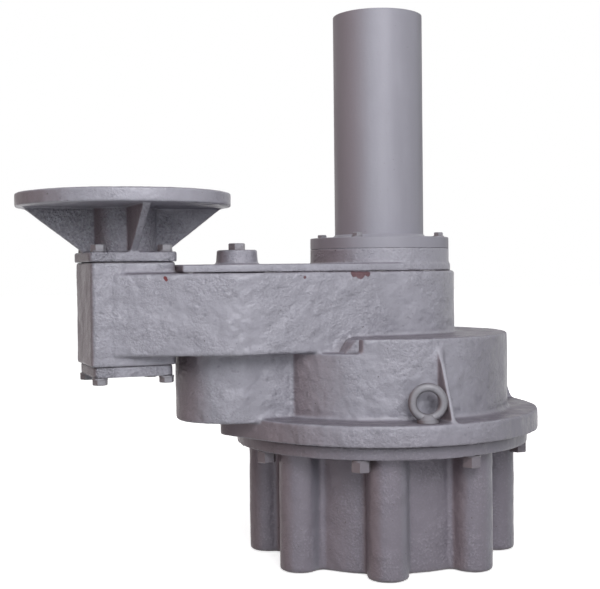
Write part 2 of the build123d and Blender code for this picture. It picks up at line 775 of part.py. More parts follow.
counter_rim_inside = root_radius(counter_teeth, arm_module) - wheel_rim
counter_web_bottom = counter_bottom + (counter_width - counter_web) / 2
with BuildPart() as counter_wheel:
    with BuildSketch(Plane.XY.offset(counter_bottom)):
        gear_face(counter_x, 0, counter_teeth, arm_module, 180 + 180 / counter_teeth)
    extrude(amount=counter_width)
    disc(counter_x, counter_rim_inside, counter_bottom, counter_web_bottom, Mode.SUBTRACT)
    web_top = counter_web_bottom + counter_web
    disc(counter_x, counter_rim_inside, web_top, counter_bottom + counter_width, Mode.SUBTRACT)
    disc(counter_x, counter_hub_radius, counter_hub_bottom, counter_hub_top)
    counter_hole_ring = (counter_rim_inside + counter_hub_radius) / 2
    hole_points = circle_points(counter_hole_ring, counter_hole_count, 0)
    holes([(counter_x + x, y) for x, y in hole_points], counter_hole_radius, counter_web_bottom, web_top)
    disc(counter_x, counter_seat_radius + seat_gap, counter_hub_bottom, counter_hub_top, Mode.SUBTRACT)
    with BuildSketch(Plane.XY.offset(counter_hub_bottom)):
        with Locations((counter_x + counter_seat_radius, 0)):
            Rectangle(wheel_key_height + slip_gap, wheel_key_width + slip_gap)
    extrude(amount=counter_hub_top - counter_hub_bottom, mode=Mode.SUBTRACT)
keep(counter_wheel, "counter_wheel")

with BuildPart() as counter_spacer:
    ring(counter_x, counter_bearing_bore + 7.0, counter_bearing_bore + slip_gap, counter_hub_top, counter_top_seat)
keep(counter_spacer, "counter_spacer")
for name, level in (("counter_bearing_lower", counter_seat), ("counter_bearing_upper", counter_top_seat)):
    bearing(name, counter_x, level, counter_bearing_bore, counter_bearing_outside, counter_bearing_width)

# Hollow input shaft with its pinion
with BuildPart() as input_shaft:
    disc(input_x, tail_bearing_bore, box_bottom + 0.7, tail_bearing_low + tail_bearing_width)
    disc(input_x, tail_bearing_bore + 6.0, tail_bearing_low + tail_bearing_width, input_pinion_bottom)
    with BuildSketch(Plane.XY.offset(input_pinion_bottom)):
        gear_face(input_x, 0, input_teeth, arm_module, 0)
    extrude(amount=input_pinion_top - input_pinion_bottom)
    disc(input_x, input_bearing_bore + 5.0, input_pinion_top, input_bearing_low)
    disc(input_x, input_bearing_bore, input_bearing_low, shaft_mouth)
    disc(input_x, motor_shaft_radius, shaft_mouth - motor_shaft_length, shaft_mouth, Mode.SUBTRACT)
    with BuildSketch(Plane.XY.offset(shaft_mouth - motor_shaft_length)):
        with Locations((input_x, motor_shaft_radius)):
            Rectangle(motor_key_width, 2 * motor_key_depth)
    extrude(amount=motor_shaft_length, mode=Mode.SUBTRACT)
keep(input_shaft, "input_shaft")
bearing("input_bearing_upper", input_x, input_bearing_low, input_bearing_bore, input_bearing_outside, input_bearing_width)
bearing("input_bearing_lower", input_x, tail_bearing_low, tail_bearing_bore, tail_bearing_outside, tail_bearing_width)

# Cover under the input box
with BuildPart() as box_cover:
    with BuildSketch(Plane.XY.offset(box_bottom - box_cover_thickness)):
        with Locations((input_x, 0)):
            RectangleRounded(2 * box_cover_half, 2 * box_cover_half, box_corner)
    extrude(amount=box_cover_thickness)
    ring(input_x, tail_bearing_outside - seat_gap, tail_bearing_outside - 6.0, box_bottom, tail_bearing_low)
    holes(box_corners(box_bolt_offset), m12_radius + bolt_hole_play, box_bottom - box_cover_thickness, box_bottom)
keep(box_cover, "box_cover")
hex_bolts(
    "box_cover_bolts",
    box_corners(box_bolt_offset),
    box_bottom - box_cover_thickness,
    box_bottom + box_bolt_bite,
    m12_radius,
    m12_across,
    m12_head,
    washer_thickness,
)

# Motor adapter: base plate, hub, four webs and the round motor flange
with BuildPart() as motor_adapter:
    with BuildSketch(Plane.XY.offset(box_top)):
        with Locations((input_x, 0)):
            RectangleRounded(2 * adapter_half, 2 * adapter_half, box_corner)
    extrude(amount=adapter_plate)
    disc(input_x, hub_radius, adapter_plate_top, motor_flange_bottom)
    hub_foot = motor_adapter.edges().filter_by(GeomType.CIRCLE).filter_by(
        lambda edge: abs(edge.center().Z - adapter_plate_top) < 0.1 and abs(edge.radius - hub_radius) < 0.1
    )
    fillet(hub_foot, hub_blend)
    for turn in (0, 90):
        web_plane = Plane((input_x, 0, 0), x_dir=(cos(radians(turn)), sin(radians(turn)), 0), z_dir=(sin(radians(turn)), -cos(radians(turn)), 0))
        with BuildSketch(web_plane):
            with BuildLine():
                Polyline(
                    (-web_foot, adapter_plate_top),
                    (web_foot, adapter_plate_top),
                    (web_head, motor_flange_bottom),
                    (-web_head, motor_flange_bottom),
                    close=True,
                )
            make_face()
        extrude(amount=web_thickness / 2, both=True)
    disc(input_x, motor_flange_radius, motor_flange_bottom, motor_face)
    fillet(motor_adapter.faces().sort_by(Axis.Z)[-1].outer_wire().edges(), motor_flange_round)
    disc(input_x, motor_spigot_radius, motor_face - motor_spigot_depth, motor_face, Mode.SUBTRACT)
    disc(input_x, hub_bore, adapter_plate_top, motor_face, Mode.SUBTRACT)
    disc(input_x, input_seal_radius, box_top, adapter_plate_top, Mode.SUBTRACT)
    motor_holes = circle_points(motor_bolt_circle / 2, motor_hole_count, 45)
    holes([(input_x + x, y) for x, y in motor_holes], motor_hole_radius, motor_flange_bottom, motor_face)
    holes(box_corners(box_bolt_offset), m12_radius + bolt_hole_play, box_top, adapter_plate_top)
keep(motor_adapter, "motor_adapter")

with BuildPart() as input_seal:
    seal_low = box_top + 2.0
    ring(input_x, input_seal_radius - seat_gap, input_bearing_bore + slip_gap, seal_low, seal_low + input_seal_width)
keep(input_seal, "input_seal")
hex_bolts(
    "adapter_bolts",
    box_corners(box_bolt_offset),
    adapter_plate_top,
    box_top - box_bolt_bite,
    m12_radius,
    m12_across,
    m12_head,
    washer_thickness,
)

# Arm cover: raised plate, standpipe seat, plug boss and the countershaft's top seat
cover_left = input_x + box_half + seam_gap
with BuildPart() as arm_cover:
    with BuildSketch(Plane.XY.offset(arm_top)):
        belt_outline(
            [
                (input_x, arm_tip_radius - cover_inset),
                (counter_x, arm_mid_radius - cover_inset),
                (0, arm_end_radius - cover_inset),
            ]
        )
        with Locations((cover_left, 0)):
            Rectangle(4 * arm_mid_radius, 4 * arm_mid_radius, align=(Align.MAX, Align.CENTER), mode=Mode.SUBTRACT)
    extrude(amount=cover_thickness)
    fillet(arm_cover.faces().sort_by(Axis.Z)[-1].outer_wire().edges(), cover_edge_round)
    with BuildSketch(Plane.XY.offset(cover_top)):
        with Locations((plug_boss_x, 0)):
            Circle(plug_boss_radius + plug_boss_flare)
    extrude(amount=plug_boss_top - cover_top, taper=4)
    boss_foot = arm_cover.edges().filter_by(GeomType.CIRCLE).filter_by(
        lambda edge: abs(edge.arc_center.Z - cover_top) < 0.1 and abs(edge.arc_center.X - plug_boss_x) < 0.1
    )
    fillet(boss_foot, plug_boss_blend)
    fillet(arm_cover.faces().sort_by(Axis.Z)[-1].outer_wire().edges(), cover_edge_round)
    disc(0, seat_radius, arm_top, seat_top)
    disc(counter_x, counter_bearing_outside + 10.0, counter_top_seat, arm_top)
    disc(counter_x, counter_bearing_outside, counter_top_seat, counter_top, Mode.SUBTRACT)
    disc(0, seat_bore, arm_top, seat_top, Mode.SUBTRACT)
    holes(pipe_bolt_points, m8_radius + bolt_hole_play, arm_top, seat_top)
    holes(cover_screw_points, m6_radius + bolt_hole_play, arm_top, cover_top)
    holes(cover_screw_points, m8_radius + 2.0, cover_top - 6.0, cover_top)
    disc(plug_boss_x, plug_radius + bolt_gap, plug_boss_top - plug_length - 1.0, plug_boss_top, Mode.SUBTRACT)
keep(arm_cover, "arm_cover")
socket_screws("arm_cover_screws", cover_screw_points, cover_top - 6.0, arm_top - 12.0, m6_radius, m8_radius + 1.5, 6.0)
hex_bolts(
    "filler_plug",
    [(plug_boss_x, 0)],
    plug_boss_top,
    plug_boss_top - plug_length,
    plug_radius,
    plug_head_across,
    plug_head_height,
)

# Standpipe, welded to its flange and closed at the top
with BuildPart() as standpipe:
    disc(0, seat_radius, seat_top, pipe_flange_top)
    fillet(standpipe.edges().filter_by(GeomType.CIRCLE).group_by(Axis.Z)[-1], 1.5)
    with BuildSketch(Plane.XZ):
        with BuildLine():
            Polyline(
                (pipe_radius - pipe_wall, pipe_flange_top - 1.0),
                (pipe_radius + weld_leg, pipe_flange_top - 1.0),
                (pipe_radius + weld_leg, pipe_flange_top),
                (pipe_radius, pipe_flange_top + weld_leg),
                (pipe_radius, pipe_top),
                (0, pipe_top),
                (0, pipe_top - pipe_cap),
                (pipe_radius - pipe_wall, pipe_top - pipe_cap),
                close=True,
            )
        make_face()
    revolve(axis=Axis.Z)
    disc(0, pipe_radius - pipe_wall, seat_top, pipe_flange_top, Mode.SUBTRACT)
    holes(pipe_bolt_points, m8_radius + bolt_hole_play, seat_top, pipe_flange_top)
keep(standpipe, "standpipe")
hex_bolts(
    "standpipe_bolts",
    pipe_bolt_points,
    pipe_flange_top,
    arm_top - 22.0,
    m8_radius,
    m8_across,
    m8_head,
    small_washer,
)

# Two lifting eyes on the flange, one on each side
for name, (x, y) in zip(("lifting_eye_front", "lifting_eye_rear"), eye_places):
    eye_height = flange_top + eye_ring_radius + eye_wire_radius
    ring_plane = Plane(
        (x, y, eye_height),
        x_dir=(cos(radians(eye_turn)), sin(radians(eye_turn)), 0),
        z_dir=(sin(radians(eye_turn)), -cos(radians(eye_turn)), 0),
    )
    with BuildPart() as lifting_eye:
        with BuildSketch(Plane(ring_plane.origin, x_dir=ring_plane.x_dir, z_dir=(0, 0, 1))):
            with Locations((eye_ring_radius, 0)):
                Circle(eye_wire_radius)
        revolve(axis=Axis(ring_plane.origin, ring_plane.z_dir))
        disc(x, eye_collar_radius, flange_top, flange_top + eye_collar_height, Mode.ADD, y)
        with BuildSketch(Plane.XY.offset(flange_top + eye_collar_height)):
            with Locations((x, y)):
                Circle(eye_collar_radius - 2.0)
        extrude(amount=eye_neck_height, taper=40)
        disc(x, m12_radius, flange_top - eye_bite, flange_top, Mode.ADD, y)
    keep(lifting_eye, name)
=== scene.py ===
import json
import math

import bmesh
import bpy
from mathutils import Matrix, Vector


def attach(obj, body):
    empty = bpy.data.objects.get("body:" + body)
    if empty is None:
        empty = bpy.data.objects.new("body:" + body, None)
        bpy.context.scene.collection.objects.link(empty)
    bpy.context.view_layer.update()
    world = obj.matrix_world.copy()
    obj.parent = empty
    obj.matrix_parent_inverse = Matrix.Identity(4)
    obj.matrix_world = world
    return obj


# Camera, from the places of known edges in the photograph
FOCAL_PIXELS = 1111.1
PICTURE_WIDTH = 600
SENSOR_WIDTH = 36.0
CAMERA_PLACE = (-0.7350, -1.5496, 0.4283)
CAMERA_HEADING = 0.3714
CAMERA_PITCH = 0.0208
CAMERA_ROLL = -0.0105
CAMERA_REACH = 60.0

# Paint colours, linear
CAST_GREY = (0.354, 0.349, 0.402)
PIPE_GREY = (0.352, 0.348, 0.398)
BOLT_GREY = (0.318, 0.312, 0.345)
EYE_GREY = (0.285, 0.280, 0.310)
# Brown of the dirt specks and of the painted shade in corners
GRIME_AND_SHADE_BROWN = (0.105, 0.082, 0.080)
DUST_BROWN = (0.190, 0.165, 0.155)
PRIMER_RED = (0.160, 0.034, 0.040)
PRIMER_DARK = (0.120, 0.060, 0.072)

# Colours of the other materials, linear
STEEL_GREY = (0.42, 0.42, 0.43)
BEARING_GREY = (0.55, 0.55, 0.56)
IRON_GREY = (0.30, 0.30, 0.31)
BRONZE = (0.50, 0.33, 0.14)
RUBBER_BLACK = (0.02, 0.02, 0.02)

# Tints that darken the paint: painted shade low down and on the left and right sides, and a darker tone
# on level tops
LOW_SHADE_TINT = (0.66, 0.61, 0.63)
TOP_TINT = (0.60, 0.56, 0.57)
LEFT_SHADE_TINT = (0.72, 0.58, 0.55)
RIGHT_SHADE_TINT = (0.70, 0.69, 0.70)

# Which way a darkened face looks, as the range of its normal in which the darkening comes up: painted
# shade on the sides, a darker tone on level tops
LEVEL = (0.60, 0.95)
CAST_LEFTWARD = (-0.98, -0.55)
CAST_RIGHTWARD = (0.05, 0.50)
PIPE_LEFTWARD = (-0.98, -0.50)
PIPE_RIGHTWARD = (0.50, 0.85)

# Gloss of the paint, and how much of it is left on the shaded left side and on level tops
SILVER = 0.08
PAINT_IOR = 1.38
CAST_COAT = 0.10
CAST_COAT_ROUGHNESS = 0.14
CAST_SPECULAR = 0.55
LEFT_SIDE_SPECULAR = 0.10
TOP_SPECULAR_SHARE = 0.25
PIPE_COAT = 0.02
PIPE_COAT_ROUGHNESS = 0.30
PIPE_SPECULAR = 0.22

# Scales of the cast paint's patterns, per metre
PATCH_SCALE = 8.0
ROUGH_SCALE = 13.0
LUMP_SCALE = 34.0
CLOUD_SCALE = 38.0
RIPPLE_SCALE = 95.0
SPECK_SCALE = 240.0
PEBBLE_SCALE = 290.0

# How the ripples are drawn out by the mould and the brush
RIPPLE_STRETCH = (0.85, 0.85, 1.3)
RIPPLE_LEAN = 0.35

# Depth of the relief, in metres
RIPPLE_DEPTH = 0.0021
GRIT_DEPTH = 0.0016
LUMP_DEPTH = 0.0085
PIPE_RUN_DEPTH = 0.0004
PIPE_GRIT_DEPTH = 0.00028
TURNING_DEPTH = 0.00012
RUBBER_DEPTH = 0.0002

# Painted shade darkens corners closer than this, in metres
CORNER_SHADE_REACH = 0.014

# The box has a grainy skin, which starts between these two places along the arm
BOX_GRIT_START = -0.416
BOX_GRIT_END = -0.426

# The motor flange is turned smooth above this height
TURNED_FROM = 0.5195
TURNED_FADE = 0.004
TURNED_GRAIN = 0.15

# Heights between which the painted shade low on the casing and the painted shade on the right side under
# the arm fade out
LOW_SHADE_HEIGHTS = (0.150, 0.235)
UNDER_ARM = (0.325, 0.345)

# Cast surfaces: voxel size, depth of the unevenness in metres, and the share of it that goes inward
CAST_VOXEL = 0.0024
CAST_SWELL = 0.0012
CAST_GRAIN = 0.0006
INWARD = 0.66
HOUSING_INWARD = 0.745
FEET_INWARD = 0.90
COVER_INWARD = 0.32
SWELL_SIZE = 0.045
GRAIN_SIZE = 0.009

# Worn edges of the bolt heads, in metres
BOLT_EDGE = 0.0008
CASING_BOLT_EDGE = 0.0014

# Floor and room
FLOOR_WHITE = 0.92
FLOOR_BOUNCE = 0.30
FLOOR_GLOW = 0.74
FLOOR_FADE = (0.3, 2.6)
FLOOR_REACH = 20.0
FLOOR_DROP = 0.0005
ROOM_COLOUR = (1.0, 0.97, 0.98)
ROOM_STRENGTH = 0.18
WHITE = (1.0, 1.0, 1.0)

# The lights point at the middle of the gearbox
LIGHT_TARGET = (-0.15, 0.0, 0.45)
NEAR_SIZE = 0.8
FAR_SIZE = 1.4
TOP_SIZE = 2.0

# Paint chips that show the red primer: centre and radius in metres, and colour
CHIPS = (
    ((-0.0950, -0.1173, 0.4256), 0.0066, PRIMER_DARK),
    ((-0.0841, -0.1169, 0.4240), 0.0088, PRIMER_DARK),
    ((-0.0735, -0.1166, 0.4250), 0.0058, PRIMER_DARK),
    ((-0.3601, -0.0855, 0.4213), 0.0034, PRIMER_RED),
    ((-0.3585, -0.0860, 0.4185), 0.0024, PRIMER_RED),
    ((-0.1703, -0.1194, 0.4200), 0.0036, PRIMER_DARK),
)

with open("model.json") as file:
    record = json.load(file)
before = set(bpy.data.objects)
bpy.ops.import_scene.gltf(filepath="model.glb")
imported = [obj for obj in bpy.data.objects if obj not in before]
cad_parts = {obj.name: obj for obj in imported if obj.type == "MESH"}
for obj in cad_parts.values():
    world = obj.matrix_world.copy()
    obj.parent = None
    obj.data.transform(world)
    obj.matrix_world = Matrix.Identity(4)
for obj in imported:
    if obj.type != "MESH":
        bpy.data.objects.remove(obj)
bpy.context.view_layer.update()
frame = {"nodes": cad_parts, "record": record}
scene = bpy.context.scene
nodes = frame["nodes"]


class Shader:
    """A material's node tree with short calls for the nodes used here."""

    def __init__(self, name):
        self.material = bpy.data.materials.new(name)
        self.material.use_nodes = True
        self.tree = self.material.node_tree
        self.tree.nodes.clear()
        self.output = self.add("ShaderNodeOutputMaterial")
        self.surface = self.add("ShaderNodeBsdfPrincipled")
        self.link(self.surface, "BSDF", self.output, "Surface")
        self.place = self.add("ShaderNodeTexCoord")

    def add(self, kind, **settings):
        node = self.tree.nodes.new(kind)
        for name, value in settings.items():
            setattr(node, name, value)
        return node

    def link(self, node, socket, other, other_socket):
        self.tree.links.new(node.outputs[socket], other.inputs[other_socket])

    def set(self, **values):
        """Sets the surface's own values, with spaces in their names written as underscores."""
        for name, value in values.items():
            self.surface.inputs[name.replace("_", " ")].default_value = value

    def axes(self, socket):
        """The X, Y and Z parts of a point on the object or of its normal."""
        node = self.add("ShaderNodeSeparateXYZ")
        self.link(self.place, socket, node, "Vector")
        return node

    def mapped(self, **values):
        """The object's own coordinates, shifted, turned or scaled."""
        node = self.add("ShaderNodeMapping")
        for name, value in values.items():
            node.inputs[name].default_value = value
        self.link(self.place, "Object", node, "Vector")
        return node

    def noise(self, scale, detail=4.0, roughness=0.55, offset=0.0):
        """Noise on the object's own coordinates, shifted so that patterns differ."""
        node = self.add("ShaderNodeTexNoise")
        node.inputs["Scale"].default_value = scale
        node.inputs["Detail"].default_value = detail
        node.inputs["Roughness"].default_value = roughness
        if offset:
            self.link(self.mapped(Location=(offset, offset, offset)), "Vector", node, "Vector")
        else:
            self.link(self.place, "Object", node, "Vector")
        return node

    def band(self, source, socket, low, high, start=0.0, end=1.0):
        """A value that goes smoothly from start to end while its source goes from low to high."""
        node = self.add("ShaderNodeMapRange")
        node.interpolation_type = "SMOOTHSTEP"
        node.inputs["From Min"].default_value = low
        node.inputs["From Max"].default_value = high
        node.inputs["To Min"].default_value = start
        node.inputs["To Max"].default_value = end
        self.link(source, socket, node, "Value")
        return node

    def blend(self, factor, socket, first, second):
        """Mixes two colours, each a tuple or a colour node, by a value node."""
        node = self.add("ShaderNodeMix", data_type="RGBA")
        self.tree.links.new(factor.outputs[socket], node.inputs[0])
        for source, place in ((first, node.inputs[6]), (second, node.inputs[7])):
            if isinstance(source, tuple):
                place.default_value = (*source, 1.0)
            else:
                self.tree.links.new(source.outputs[2], place)
        return node

    def combine(self, operation, first, second):
        """Joins two values by a math operation. Each value is a node and its socket."""
        node = self.add("ShaderNodeMath", operation=operation)
        for place, (source, socket) in enumerate((first, second)):
            self.tree.links.new(source.outputs[socket], node.inputs[place])
        return node

    def chip(self, centre, radius, ragged):
        """A value of one inside a ragged spot about a place on the object."""
        apart = self.add("ShaderNodeVectorMath", operation="DISTANCE")
        self.link(self.place, "Object", apart, "Vector")
        apart.inputs[1].default_value = centre
        torn = self.add("ShaderNodeMath", operation="MULTIPLY_ADD")
        self.link(ragged, "Fac", torn, 0)
        torn.inputs[1].default_value = radius * 2.0
        self.tree.links.new(apart.outputs["Value"], torn.inputs[2])
        return self.band(torn, "Value", radius * 1.75, radius * 2.0, 1.0, 0.0)

    def colour(self, mix):
        self.tree.links.new(mix.outputs[2], self.surface.inputs["Base Color"])

    def sheen(self, source, low, high, rough):
        """Lets the roughness follow a pattern between two values."""
        node = self.band(source, "Fac", low, high, rough[0], rough[1])
        self.link(node, "Result", self.surface, "Roughness")

    def bump(self, source, socket, distance, strength=1.0, before=None):
        node = self.add("ShaderNodeBump")
        node.inputs["Distance"].default_value = distance
        node.inputs["Strength"].default_value = strength
        self.link(source, socket, node, "Height")
        if before is not None:
            self.link(before, "Normal", node, "Normal")
        return node

    def normal(self, bump):
        self.link(bump, "Normal", self.surface, "Normal")


def shade(colour, factor):
    return tuple(min(1.0, channel * factor) for channel in colour)


def tinted(colour, tint):
    return tuple(channel * part for channel, part in zip(colour, tint))


def side_shade_and_darker_tops(made, grey, stain_and_shade, spot):
    """Paints shade on the left side, which is also duller, and on the right side under the arm, and
    darkens and dulls the level tops.
    """
    facing = made.axes("Normal")
    level = made.band(facing, "Z", *LEVEL, 0.0, 0.9)
    stain_and_shade = made.blend(level, "Result", stain_and_shade, tinted(grey, TOP_TINT))
    # Painted shade on the left-facing sides
    left_shade_mask = made.band(facing, "X", *CAST_LEFTWARD, 0.85, 0.0)
    stain_and_shade = made.blend(left_shade_mask, "Result", stain_and_shade, tinted(grey, LEFT_SHADE_TINT))
    # Painted shade on the right-facing sides below the arm
    right_shade_mask = made.band(facing, "X", *CAST_RIGHTWARD, 0.0, 0.9)
    under_arm = made.band(spot, "Z", *UNDER_ARM, 1.0, 0.0)
    right_shade_under_arm = made.combine("MULTIPLY", (right_shade_mask, "Result"), (under_arm, "Result"))
    stain_and_shade = made.blend(right_shade_under_arm, "Value", stain_and_shade, tinted(grey, RIGHT_SHADE_TINT))
    dull_side = made.band(facing, "X", *CAST_LEFTWARD, LEFT_SIDE_SPECULAR, CAST_SPECULAR)
    dull_top = made.band(facing, "Z", *LEVEL, 1.0, TOP_SPECULAR_SHARE)
    dulled = made.combine("MULTIPLY", (dull_side, "Result"), (dull_top, "Result"))
    made.link(dulled, "Value", made.surface, "Specular IOR Level")
    coated = made.band(facing, "Z", *LEVEL, CAST_COAT, 0.0)
    made.link(coated, "Result", made.surface, "Coat Weight")
    return stain_and_shade


def specks_shade_and_chips(made, stain_and_shade, cloud, chips):
    """Adds brown specks, painted shade in the corners and chips down to the primer."""
    speck = made.noise(SPECK_SCALE, 2.0, 0.5, 7.7)
    dirty = made.band(speck, "Fac", 0.735, 0.775, 0.0, 0.85)
    finish_and_shade = made.blend(dirty, "Result", stain_and_shade, GRIME_AND_SHADE_BROWN)
    recess = made.add("ShaderNodeAmbientOcclusion", samples=6)
    recess.inputs["Distance"].default_value = CORNER_SHADE_REACH
    # Painted shade in corners and recesses, from an ambient occlusion mask
    corner = made.band(recess, "AO", 0.30, 0.80, 0.5, 0.0)
    finish_and_shade = made.blend(corner, "Result", finish_and_shade, GRIME_AND_SHADE_BROWN)
    for centre, radius, primer in chips:
        finish_and_shade = made.blend(made.chip(centre, radius, cloud), "Result", finish_and_shade, primer)
    return finish_and_shade


def cast_paint(name, grey, ripples=1.0, grit=1.0, lumps=1.0, painted_glint=0.22, rough=(0.34, 0.52), chips=()):
    """Silver-grey gloss paint brushed over sand-cast iron: lumpy, rippled, with painted shade in its
    corners.
    """
    made = Shader(name)
    made.set(Metallic=SILVER, Coat_Roughness=CAST_COAT_ROUGHNESS, IOR=PAINT_IOR)
    patches = made.noise(PATCH_SCALE, 3.0)
    cloud = made.noise(CLOUD_SCALE, 5.0, 0.6, 3.1)
    pebble = made.noise(PEBBLE_SCALE, 3.0, 0.55)
    spot = made.axes("Object")
    brushed = made.mapped(Scale=RIPPLE_STRETCH, Rotation=(0.0, RIPPLE_LEAN, 0.0))
    ripple = made.add("ShaderNodeTexNoise")
    ripple.inputs["Scale"].default_value = RIPPLE_SCALE
    ripple.inputs["Detail"].default_value = 4.0
    ripple.inputs["Roughness"].default_value = 0.5
    ripple.inputs["Distortion"].default_value = 0.25
    made.link(brushed, "Vector", ripple, "Vector")

    # Clouds, painted shade in the ripple floors, and painted shade low down
    broad = made.band(patches, "Fac", 0.34, 0.66)
    mottled = made.band(cloud, "Fac", 0.35, 0.68)
    # Painted shade in the floors of the ripples
    ripple_floor_shade = made.band(ripple, "Fac", 0.24, 0.40, 1.0, 0.0)
    dark = made.blend(broad, "Result", shade(grey, 0.93), shade(grey, 1.06))
    lively = made.blend(mottled, "Result", shade(grey, 0.95), dark)
    stain_and_shade = made.blend(ripple_floor_shade, "Result", lively, shade(grey, 0.72))
    # Painted shade, darker towards the bottom of the casing
    low = made.band(spot, "Z", *LOW_SHADE_HEIGHTS, 1.0, 0.0)
    stain_and_shade = made.blend(low, "Result", stain_and_shade, tinted(grey, LOW_SHADE_TINT))

    # The grain lies in patches and all over the box, and little of it on the turned flange; its crests
    # are painted lighter as painted highlights, and its hollows darker as painted shade
    rough_patches = made.band(made.noise(ROUGH_SCALE, 3.0, 0.5, 9.1), "Fac", 0.42, 0.60, 0.30, 1.0)
    boxed = made.band(spot, "X", BOX_GRIT_END, BOX_GRIT_START, 1.0, 0.0)
    skin = made.combine("MAXIMUM", (rough_patches, "Result"), (boxed, "Result"))
    turned = made.band(spot, "Z", TURNED_FROM - TURNED_FADE, TURNED_FROM, 1.0, TURNED_GRAIN)
    grainy = made.combine("MULTIPLY", (skin, "Value"), (turned, "Result"))
    # Painted highlights on the grain's crests and painted shade in its hollows
    crest_highlight_band = made.band(pebble, "Fac", 0.52, 0.66, 0.0, painted_glint)
    painted_highlight = made.combine("MULTIPLY", (crest_highlight_band, "Result"), (grainy, "Value"))
    stain_and_shade = made.blend(painted_highlight, "Value", stain_and_shade, shade(grey, 1.45))
    pit_shade_band = made.band(pebble, "Fac", 0.34, 0.47, painted_glint, 0.0)
    painted_pit_shade = made.combine("MULTIPLY", (pit_shade_band, "Result"), (grainy, "Value"))
    stain_and_shade = made.blend(painted_pit_shade, "Value", stain_and_shade, shade(grey, 0.55))

    stain_and_shade = side_shade_and_darker_tops(made, grey, stain_and_shade, spot)
    made.colour(specks_shade_and_chips(made, stain_and_shade, cloud, chips))
    made.sheen(cloud, 0.30, 0.70, rough)
    waves = made.combine("MULTIPLY", (ripple, "Fac"), (rough_patches, "Result"))
    relief = made.bump(waves, "Value", RIPPLE_DEPTH * ripples, 0.9)
    pebbles = made.combine("MULTIPLY", (pebble, "Fac"), (grainy, "Value"))
    fine = made.bump(pebbles, "Value", GRIT_DEPTH * grit, 0.95, relief)
    lumpy = made.noise(LUMP_SCALE, 2.0, 0.42, 5.3)
    made.normal(made.bump(lumpy, "Fac", LUMP_DEPTH * lumps, 0.8, fine))
    return made.material


def smooth_paint(name, grey, rough=(0.40, 0.54)):
    """The same paint on turned or drawn steel: thin, with faint runs and rubbed spots, and painted shade
    on its left and right sides.
    """
    made = Shader(name)
    made.set(Metallic=SILVER, IOR=PAINT_IOR, Specular_IOR_Level=PIPE_SPECULAR)
    made.set(Coat_Weight=PIPE_COAT, Coat_Roughness=PIPE_COAT_ROUGHNESS)
    cloud = made.noise(9.0, 4.0, 0.6)
    runs = made.add("ShaderNodeTexNoise")
    runs.inputs["Scale"].default_value = 60.0
    runs.inputs["Detail"].default_value = 4.0
    made.link(made.mapped(Scale=(1.0, 1.0, 0.12)), "Vector", runs, "Vector")
    speck = made.noise(330.0, 2.0, 0.5, 2.2)
    broad = made.band(cloud, "Fac", 0.3, 0.7)
    streak = made.band(runs, "Fac", 0.35, 0.7)
    base = made.blend(broad, "Result", shade(grey, 0.95), shade(grey, 1.04))
    lined = made.blend(streak, "Result", shade(grey, 0.96), base)
    facing = made.axes("Normal")
    # Painted shade on the tube's left and right sides
    left_shade_mask = made.band(facing, "X", *PIPE_LEFTWARD, 0.70, 0.0)
    lined = made.blend(left_shade_mask, "Result", lined, tinted(grey, LEFT_SHADE_TINT))
    right_shade_mask = made.band(facing, "X", *PIPE_RIGHTWARD, 0.0, 0.85)
    lined = made.blend(right_shade_mask, "Result", lined, tinted(grey, RIGHT_SHADE_TINT))
    spots = made.band(speck, "Fac", 0.72, 0.78, 0.0, 0.6)
    made.colour(made.blend(spots, "Result", lined, DUST_BROWN))
    made.sheen(runs, 0.3, 0.7, rough)
    relief = made.bump(made.noise(240.0, 3.0, 0.55, 4.0), "Fac", PIPE_GRIT_DEPTH, 0.7)
    made.normal(made.bump(runs, "Fac", PIPE_RUN_DEPTH, 0.5, relief))
    return made.material


def bare_metal(name, colour, rough=(0.22, 0.38)):
    """Machined metal with fine turning marks."""
    made = Shader(name)
    made.set(Metallic=1.0)
    cloud = made.noise(60.0, 3.0)
    turned = made.noise(600.0, 2.0, 0.5, 1.1)
    broad = made.band(cloud, "Fac", 0.3, 0.7)
    made.colour(made.blend(broad, "Result", shade(colour, 0.9), shade(colour, 1.05)))
    made.sheen(cloud, 0.3, 0.7, rough)
    made.normal(made.bump(turned, "Fac", TURNING_DEPTH, 0.6))
    return made.material


def rubber(name):
    """Black moulded rubber."""
    made = Shader(name)
    made.set(Metallic=0.0)
    cloud = made.noise(120.0, 3.0)
    broad = made.band(cloud, "Fac", 0.3, 0.7)
    made.colour(made.blend(broad, "Result", RUBBER_BLACK, shade(RUBBER_BLACK, 1.8)))
    made.sheen(cloud, 0.3, 0.7, (0.5, 0.65))
    made.normal(made.bump(made.noise(400.0, 2.0), "Fac", RUBBER_DEPTH, 0.5))
    return made.material


